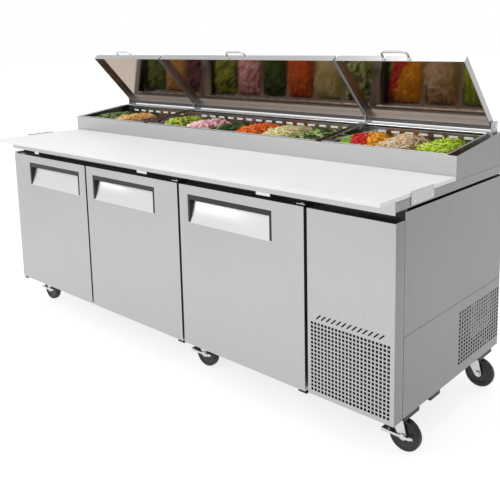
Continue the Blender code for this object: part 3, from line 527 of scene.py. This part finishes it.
def rail():
    """Rail housing with beads round its three openings, and pale slots along the well's rear wall."""
    # The deck's top faces take the darker deck steel: painted shade.
    deck = (STEEL_DECK_PAINTED_SHADE, lambda face: face.normal.z > 0.9 and face.center.z > DECK_FRONT - 0.001)
    # The rail's end faces take the darker side steel: painted shade.
    refine("rail_housing", STEEL_RAIL, 0.0012, 2, [(STEEL_SIDE_PAINTED_SHADE, is_end), deck])
    refine("cold_well", STEEL_PAN, 0.0008)
    refine("hinge_rail", STEEL_LID, 0.0007)
    bm = bmesh.new()
    out = 0.0015
    for x0, x1 in OPENINGS_X:
        ys = (OPENING_Y[0] - out, DECK_BREAK, OPENING_Y[1] + out)
        loop = [(x0 - out, y, deck_height(y) + 0.0006) for y in ys]
        loop += [(x1 + out, y, deck_height(y) + 0.0006) for y in reversed(ys)]
        add_tube(bm, loop, 0.0020, 8, True)
    show("opening_beads", mesh_of("beads", bm), STEEL_TRIM, "table")

    vents = bmesh.new()
    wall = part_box("cold_well")[1][1] - SHEET
    pitch, half, bottom, top_edge = 0.0672, 0.020, 1.0230, 1.0330
    for x0, x1 in OPENINGS_X:
        count = int((x1 - x0 - 0.02) / pitch)
        for i in range(count):
            x = (x0 + x1) / 2 + (i - (count - 1) / 2) * pitch
            add_box(vents, (x - half, wall - 0.0010, bottom), (x + half, wall + 0.0004, top_edge), 0.0004)
    show("vent_slots", mesh_of("vents", vents), VENT, "table")


def lid_matrix():
    """From a lid's own axes, with its origin on the hinge line, to the open lid."""
    _, y, z = JOINTS["lid_1_hinge"]["pos_m"]
    return Matrix.Translation((0.0, y, z)) @ Matrix.Rotation(LID_TILT, 4, "X")


def lids():
    """Tray-shaped lids with a polished panel inside, tinted warm as a painted reflection of the food, and a handle
    on the free edge.
    """
    to_world = lid_matrix()
    for index in (1, 2, 3):
        node = f"lid_{index}"
        refine(node, STEEL_LID, 0.0010, 2)
        low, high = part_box(node)
        inset = LID_WALL + 0.0004
        near = (low[0] + inset, inset - LID_REACH, LID_FLOOR - 0.0012)
        far = (high[0] - inset, -LID_BAR - 0.0004, LID_FLOOR - 0.0001)
        bm = bmesh.new()
        add_box(bm, near, far, 0.0004, to_world)
        edge = 0.009
        near = (near[0] + edge, near[1] + edge, near[2] - 0.0003)
        add_box(bm, near, (far[0] - edge, far[1] - edge, far[2]), 0.0001, to_world)
        show(f"lid_{index}_mirror", mesh_of("mirror", bm), STEEL_MIRROR_PAINTED_REFLECTION, node,
             smooth=False)
        refine(f"lid_handle_{index}", STEEL_TRIM, 0)
        centre = (low[0] + high[0]) / 2
        bm = bmesh.new()
        for side in (-1, 1):
            x = centre + side * 0.0575
            foot = (x - 0.009, -LID_REACH - 0.0022, -0.008), (x + 0.009, -LID_REACH - 0.0001, 0.008)
            add_box(bm, *foot, 0.0005, to_world)
        show(f"lid_{index}_handle_feet", mesh_of("feet", bm), STEEL_TRIM, node)
    brackets()


def brackets():
    """A foot under each upright hinge plate, and pin heads and screws on the outer two plates."""
    _, y, z = JOINTS["lid_1_hinge"]["pos_m"]
    bm = bmesh.new()
    end_plate, middle_plate, cheek, screw_z = 1.151, 0.5645, 0.0031, 1.0655
    for plate in (-end_plate, -middle_plate, middle_plate, end_plate):
        if abs(plate) == end_plate:
            side = math.copysign(1, plate)
            x = plate + side * cheek
            add_disc(bm, (x, y, z), 0.0085, 0.0025, (side, 0, 0), 16, 0.0006)
            add_disc(bm, (x, y - 0.012, screw_z), 0.004, 0.0015, (side, 0, 0), 10)
            add_disc(bm, (x, y + 0.014, screw_z), 0.004, 0.0015, (side, 0, 0), 10)
        foot = [(plate - 0.012, 0.402, 1.0584), (plate + 0.012, 0.450, 1.0600)]
        add_box(bm, *foot, 0.0005)
    show("hinge_brackets", mesh_of("hinge_brackets", bm), STEEL_TRIM, "table")


# ---------------------------------------------------------------- casters

def turned(profile, sides, centre):
    """A closed profile of (radius, y) points turned about the Y axis through a centre."""
    cx, cy, cz = centre
    bm = bmesh.new()
    rows = []
    for radius, y in profile:
        angles = [2 * math.pi * (i + 0.5) / sides for i in range(sides)]
        rows.append([bm.verts.new((cx + radius * math.cos(a), cy + y, cz + radius * math.sin(a)))
                     for a in angles])
    for lower, upper in zip(rows, rows[1:] + rows[:1]):
        for i in range(sides):
            bm.faces.new((lower[i], lower[(i + 1) % sides], upper[(i + 1) % sides], upper[i]))
    return bm


# Half profiles of a wheel's parts, as (radius, half-width)
TYRE = [(0.0455, 0.0135), (0.052, 0.0150), (0.0565, 0.0140), (0.0590, 0.0112), (0.060, 0.0070)]
HUB = [(0.0054, 0.0158), (0.0145, 0.0158), (0.0165, 0.0140), (0.0180, 0.0098), (0.0380, 0.0092),
       (0.0415, 0.0120), (0.0452, 0.0128)]
RING = [(0.0395, 0.0128), (0.0420, 0.0134), (0.0445, 0.0134), (0.0450, 0.0126), (0.0420, 0.0118)]


def both_sides(profile):
    return profile + [(radius, -y) for radius, y in reversed(profile)]


def casters():
    """Wheels in three parts, and the axle ends and brake arms on their forks."""
    tags = [f"{row}_{side}" for row in ("front", "rear") for side in ("left", "middle", "right")]
    for tag in tags:
        refine(f"caster_fork_{tag}", ZINC, 0.0007, 2)
        centre = x, y, z = JOINTS[f"wheel_{tag}_roll"]["pos_m"]
        body = f"wheel_{tag}"
        show(f"tyre_{tag}", mesh_of("tyre", turned(both_sides(TYRE), 64, centre)), RUBBER, body,
             (f"caster_wheel_{tag}",))
        show(f"hub_{tag}", mesh_of("hub", turned(both_sides(HUB), 48, centre)), NYLON, body)
        show(f"ring_{tag}", mesh_of("ring", turned(RING, 48, centre)), ALUMINIUM, body)
        bm = bmesh.new()
        for sign in (-1, 1):
            add_disc(bm, (x, y + sign * 0.0246, z), 0.0105, 0.003, (0, sign, 0), 16, 0.001)
        if tag.startswith("front"):
            for sign in (-1, 1):
                inner, outer = sorted((sign * 0.0230, sign * 0.0262))
                add_box(bm, (x - 0.066, y + inner, 0.0545), (x + 0.030, y + outer, 0.0640), 0.0012)
                tip = (x + 0.026, y + inner - 0.003, 0.0600), (x + 0.042, y + outer + 0.003, 0.0700)
                add_box(bm, *tip, 0.0014)
        show(f"axle_fittings_{tag}", mesh_of("fittings", bm), ZINC, f"fork_{tag}")


# ---------------------------------------------------------------- food

FOOD_DEPTH = 1.08               # above 1 makes the foods' colours deeper
HEAP_HALF = (0.0745, 0.146)     # half-size of a pan's mouth that food fills
FOODS = [
    # kind, size (length, width, thickness), count, heap height, three colours as (first, second) tones;
    # the last colour is also the bed's that shows between the pieces, except for peppers; darker than the pieces,
    # it is painted shade between them
    ("stick", (0.026, 0.0085, 0.008), 330, 0.040,
     [((0.07, 0.13, 0.02), (0.17, 0.26, 0.05)),
      ((0.22, 0.33, 0.07), (0.40, 0.47, 0.13)),
      ((0.03, 0.06, 0.01), (0.06, 0.10, 0.02))]),
    ("stick", (0.017, 0.0075, 0.006), 420, 0.046,
     [((0.76, 0.42, 0.11), (0.86, 0.56, 0.19)),
      ((0.84, 0.58, 0.24), (0.92, 0.70, 0.36)),
      ((0.55, 0.27, 0.06), (0.68, 0.36, 0.10))]),
    ("chunk", (0.020, 0.014, 0.010), 280, 0.030,
     [((0.045, 0.006, 0.014), (0.09, 0.012, 0.025)),
      ((0.22, 0.04, 0.09), (0.34, 0.10, 0.15)),
      ((0.012, 0.003, 0.005), (0.03, 0.006, 0.01))]),
    ("chunk", (0.017, 0.010, 0.009), 400, 0.054,
     [((0.44, 0.54, 0.04), (0.60, 0.68, 0.10)),
      ((0.24, 0.36, 0.02), (0.36, 0.48, 0.05)),
      ((0.03, 0.05, 0.01), (0.06, 0.09, 0.02))]),
    ("chunk", (0.019, 0.013, 0.010), 330, 0.046,
     [((0.82, 0.44, 0.48), (0.90, 0.58, 0.60)),
      ((0.90, 0.76, 0.76), (0.95, 0.86, 0.85)),
      ((0.52, 0.10, 0.18), (0.66, 0.20, 0.28))]),
    ("leaf", (0.022, 0.014, 0.001), 460, 0.040,
     [((0.015, 0.05, 0.008), (0.045, 0.11, 0.015)),
      ((0.08, 0.20, 0.02), (0.15, 0.30, 0.05)),
      ((0.006, 0.02, 0.004), (0.015, 0.04, 0.008))]),
    ("stick", (0.028, 0.0055, 0.005), 470, 0.050,
     [((0.82, 0.13, 0.008), (0.92, 0.21, 0.015)),
      ((0.92, 0.25, 0.02), (0.97, 0.36, 0.05)),
      ((0.48, 0.05, 0.004), (0.62, 0.09, 0.01))]),
    ("strand", (0.042, 0.0042, 0.004), 330, 0.050,
     [((0.82, 0.74, 0.34), (0.92, 0.86, 0.52)),
      ((0.92, 0.88, 0.60), (0.96, 0.94, 0.76)),
      ((0.48, 0.46, 0.14), (0.62, 0.60, 0.22))]),
    ("slice", (0.019, 0.019, 0.0045), 135, 0.044,
     [((0.56, 0.66, 0.24), (0.72, 0.80, 0.40)),
      ((0.018, 0.05, 0.008), (0.04, 0.09, 0.012)),
      ((0.30, 0.42, 0.10), (0.44, 0.55, 0.18))]),
    ("peppers", (0.026, 0.012, 0.008), 330, 0.050,
     [((0.92, 0.42, 0.01), (0.97, 0.55, 0.03)),
      ((0.50, 0.008, 0.006), (0.70, 0.02, 0.015)),
      ((0.16, 0.34, 0.02), (0.32, 0.50, 0.05))]),
    ("strand", (0.044, 0.0052, 0.005), 360, 0.052,
     [((0.78, 0.58, 0.34), (0.90, 0.72, 0.48)),
      ((0.92, 0.85, 0.70), (0.96, 0.92, 0.82)),
      ((0.46, 0.26, 0.10), (0.60, 0.36, 0.15))]),
    ("strand", (0.036, 0.0075, 0.005), 280, 0.050,
     [((0.50, 0.68, 0.02), (0.66, 0.80, 0.05)),
      ((0.66, 0.80, 0.12), (0.80, 0.88, 0.26)),
      ((0.16, 0.30, 0.01), (0.28, 0.44, 0.03))]),
]


def heap_height(x, y, height, seed):
    """Top of the food over a pan's mouth, from its middle, above the pan's rim."""
    a, b = abs(x / HEAP_HALF[0]), abs(y / HEAP_HALF[1])
    dome = max(0.0, 1 - a ** 3.2) * max(0.0, 1 - b ** 4.5)
    rough = noise.noise(Vector((x * 30 + seed, y * 30, seed * 1.7)))
    return -0.006 + height * dome + 0.007 * rough * dome


def food_shape(kind, size, rng):
    """Points and faces of one piece of food about its own middle, lying flat."""
    length, width, thickness = (s * rng.uniform(0.75, 1.25) for s in size)
    if kind == "strand":
        steps, sides = 5, 4
        bend = rng.uniform(-1.0, 1.0) * length * 0.35
        lift = rng.uniform(-0.5, 1.0) * length * 0.18
        points = []
        for i in range(steps + 1):
            t = i / steps * 2 - 1
            swell = max(0.25, 1 - abs(t) ** 3)
            for k in range(sides):
                a = 2 * math.pi * (k + 0.5) / sides
                points.append((t * length / 2, bend * (1 - t * t) + math.cos(a) * width / 2 * swell,
                               lift * (1 - t * t) + math.sin(a) * thickness / 2 * swell))
        faces = [tuple(range(sides))[::-1], tuple(steps * sides + k for k in range(sides))]
        for i in range(steps):
            for k in range(sides):
                a, b = i * sides + k, i * sides + (k + 1) % sides
                faces.append((a, b, b + sides, a + sides))
        return points, faces
    if kind == "slice":
        sides = 12
        points = []
        for r, z in ((1.0, -0.5), (1.0, 0.4), (0.84, 0.5)):
            for k in range(sides):
                a = 2 * math.pi * k / sides
                points.append((r * length * math.cos(a), r * width * math.sin(a), z * thickness))
        faces = [tuple(range(sides))[::-1], tuple(2 * sides + k for k in range(sides))]
        for row in (0, 1):
            for k in range(sides):
                a, b = row * sides + k, row * sides + (k + 1) % sides
                faces.append((a, b, b + sides, a + sides))
        return points, faces
    if kind == "leaf":
        curl = rng.uniform(0.1, 0.5) * length
        outline = ((-0.5, 0), (-0.2, 0.42), (0.15, 0.5), (0.5, 0.05), (0.15, -0.5), (-0.2, -0.42))
        points = [(u * length, v * width, curl * v * v) for u, v in outline]
        points += [(x, y, z + 0.0012) for x, y, z in points]
        count = len(outline)
        faces = [tuple(range(count))[::-1], tuple(range(count, 2 * count))]
        faces += [(i, (i + 1) % count, (i + 1) % count + count, i + count) for i in range(count)]
        return points, faces
    taper = 0.78
    points = []
    for z, scale in ((-0.5, taper), (0.0, 1.0), (0.5, taper)):
        for u, v in ((-1, -1), (1, -1), (1, 1), (-1, 1)):
            wobble = rng.uniform(0.86, 1.1)
            points.append((u * length / 2 * scale * wobble, v * width / 2 * scale * wobble, z * thickness))
    faces = [(3, 2, 1, 0), (8, 9, 10, 11)]
    for row in (0, 4):
        faces += [(row + k, row + (k + 1) % 4, row + (k + 1) % 4 + 4, row + k + 4) for k in range(4)]
    return points, faces


def pick_colour(kind, x, y, rng):
    """Which of a food's three colours a piece has; peppers are laid out in bands across the pan."""
    if kind == "peppers":
        along = 0.55 * y / HEAP_HALF[1] + 0.65 * x / HEAP_HALF[0] + rng.uniform(-0.10, 0.10)
        return 2 if along < -0.42 else 1 if along < 0.12 else 0
    if kind == "slice":
        return 0 if rng.random() < 0.45 else rng.choice((1, 2))
    return rng.choices((0, 1, 2), (5, 3, 2))[0]


def food(number, kind, size, count, height, colours):
    """One pan's heap: a lumpy bed, coloured darker as painted shade between the pieces except for peppers, with
    separate pieces strewn over it.
    """
    node = f"pan_{number:02d}"
    rng = random.Random(700 + number)
    low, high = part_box(node)
    cx, cy, rim = (low[0] + high[0]) / 2, (low[1] + high[1]) / 2, high[2]
    bm = bmesh.new()
    nx, ny = 16, 28
    grid = []
    for i in range(nx + 1):
        for j in range(ny + 1):
            x, y = HEAP_HALF[0] * (2 * i / nx - 1), HEAP_HALF[1] * (2 * j / ny - 1)
            z = heap_height(x, y, height, number) - 0.003
            grid.append(bm.verts.new((cx + x, cy + y, rim + z)))
    for i in range(nx):
        for j in range(ny):
            a = i * (ny + 1) + j
            face = bm.faces.new((grid[a], grid[a + ny + 1], grid[a + ny + 2], grid[a + 1]))
            x, y = HEAP_HALF[0] * (2 * (i + 0.5) / nx - 1), HEAP_HALF[1] * (2 * (j + 0.5) / ny - 1)
            # Except for peppers, the bed takes the last, darker colour: painted shade between the pieces.
            face.material_index = pick_colour("peppers", x, y, rng) if kind == "peppers" else 2
    bottom = rim - 0.040
    border = [grid[j] for j in range(ny + 1)] + [grid[i * (ny + 1) + ny] for i in range(1, nx + 1)]
    border += [grid[nx * (ny + 1) + j] for j in reversed(range(ny))]
    border += [grid[i * (ny + 1)] for i in reversed(range(1, nx))]
    foot = [bm.verts.new((cx + (v.co.x - cx) * 0.95, cy + (v.co.y - cy) * 0.97, bottom)) for v in border]
    for k in range(len(border)):
        n = (k + 1) % len(border)
        bm.faces.new((border[k], foot[k], foot[n], border[n]))
    bm.faces.new(foot[::-1])
    for _ in range(count):
        u = rng.uniform(-1, 1)
        v = rng.uniform(-1, 1)
        reach = (HEAP_HALF[0] - size[0] * 0.42, HEAP_HALF[1] - size[0] * 0.42)
        x, y = u * reach[0], v * reach[1]
        z = heap_height(x, y, height, number) + rng.uniform(-0.002, 0.0035)
        tilt = 0.30 if kind == "slice" else 0.45
        turn = Matrix.Rotation(rng.uniform(0, math.tau), 4, "Z") @ Matrix.Rotation(rng.gauss(0, tilt), 4, "X")
        turn = turn @ Matrix.Rotation(rng.gauss(0, tilt), 4, "Y")
        place = Matrix.Translation((cx + x, cy + y, rim + z)) @ turn
        shape = "stick" if kind == "peppers" else kind
        points, faces = food_shape(shape, size, rng)
        made = [bm.verts.new(place @ Vector(p)) for p in points]
        index = pick_colour(kind, x, y, rng)
        for f in faces:
            face = bm.faces.new([made[i] for i in f])
            face.material_index = index
            if kind == "slice" and index == 0 and len(f) == 4:
                face.material_index = 1
    deeper = [[tuple(c ** FOOD_DEPTH for c in tone) for tone in pair] for pair in colours]
    finishes = [food_material(f"food_{number:02d}_{k}", a, b) for k, (a, b) in enumerate(deeper)]
    show(f"food_{number:02d}", mesh_of("food", bm), finishes, node)


def pans():
    for number, (kind, size, count, height, colours) in enumerate(FOODS, 1):
        refine(f"pan_{number:02d}", STEEL_PAN, 0.0006, 2)
        food(number, kind, size, count, height, colours)


# ---------------------------------------------------------------- studio

def camera():
    yaw, pitch, roll = (math.radians(a) for a in (CAMERA_YAW, CAMERA_PITCH, CAMERA_ROLL))
    forward = Vector((-math.sin(yaw) * math.cos(pitch), math.cos(yaw) * math.cos(pitch), math.sin(pitch)))
    right = Vector((math.cos(yaw), math.sin(yaw), 0.0))
    up = right.cross(forward)
    rolled_right = right * math.cos(roll) + up * math.sin(roll)
    rolled_up = up * math.cos(roll) - right * math.sin(roll)
    turn = Matrix((rolled_right, rolled_up, -forward)).transposed()
    data = bpy.data.cameras.new("camera")
    data.sensor_width = 36.0
    data.lens = CAMERA_LENS
    data.shift_y = CAMERA_SHIFT_Y
    data.clip_end = 100.0
    thing = bpy.data.objects.new("camera", data)
    thing.matrix_world = Matrix.Translation(CAMERA_PLACE) @ turn.to_4x4()
    bpy.context.scene.collection.objects.link(thing)
    bpy.context.scene.camera = thing


def softbox(name, place, target, size, power):
    data = bpy.data.lights.new(name, "AREA")
    data.shape = "RECTANGLE"
    data.size, data.size_y = size
    data.energy = power
    thing = bpy.data.objects.new(name, data)
    direction = Vector(target) - Vector(place)
    thing.matrix_world = Matrix.Translation(place) @ direction.to_track_quat("-Z", "Y").to_matrix().to_4x4()
    bpy.context.scene.collection.objects.link(thing)


def studio():
    """White surroundings, dimmer towards the table's right, a pale floor and two softboxes."""
    world = bpy.data.worlds.new("studio")
    world.use_nodes = True
    tree = world.node_tree
    background = tree.nodes["Background"]
    place = add_node(tree, "ShaderNodeTexCoord")
    facing = add_node(tree, "ShaderNodeVectorMath", {0: place.outputs["Generated"], 1: DIM_SIDE},
                      operation="DOT_PRODUCT")
    level = add_node(tree, "ShaderNodeMapRange", {"Value": facing.outputs["Value"], "From Min": 0.58,
                                                  "From Max": 0.90, "To Min": 1.0, "To Max": 0.20})
    tree.links.new(level.outputs["Result"], background.inputs["Strength"])
    background.inputs["Color"].default_value = (1.0, 1.0, 1.0, 1.0)
    bpy.context.scene.world = world
    bpy.context.scene.view_settings.view_transform = "Standard"
    bpy.context.scene.view_settings.look = "None"

    bm = bmesh.new()
    bmesh.ops.create_grid(bm, x_segments=2, y_segments=2, size=40.0)
    floor = bpy.data.objects.new("floor", mesh_of("floor", bm))
    made, tree, shader = new_material("floor")
    tone = two_tone(tree, grain(tree, 3.0), (0.28, 0.28, 0.28), (0.30, 0.30, 0.30))
    tree.links.new(tone, shader.inputs["Base Color"])
    shader.inputs["Roughness"].default_value = 0.9
    shader.inputs["Emission Color"].default_value = (1.0, 1.0, 1.0, 1.0)
    shader.inputs["Emission Strength"].default_value = 0.80
    floor.data.materials.append(made)
    bpy.context.scene.collection.objects.link(floor)
    softbox("key", (-1.5, -4.0, 3.2), (0, 0, 0.7), (3.0, 2.0), 60)
    softbox("top", (0.3, 0.2, 4.0), (0, 0.1, 0.9), (3.0, 2.0), 40)


cabinet()
top()
rail()
lids()
casters()
pans()
camera()
studio()
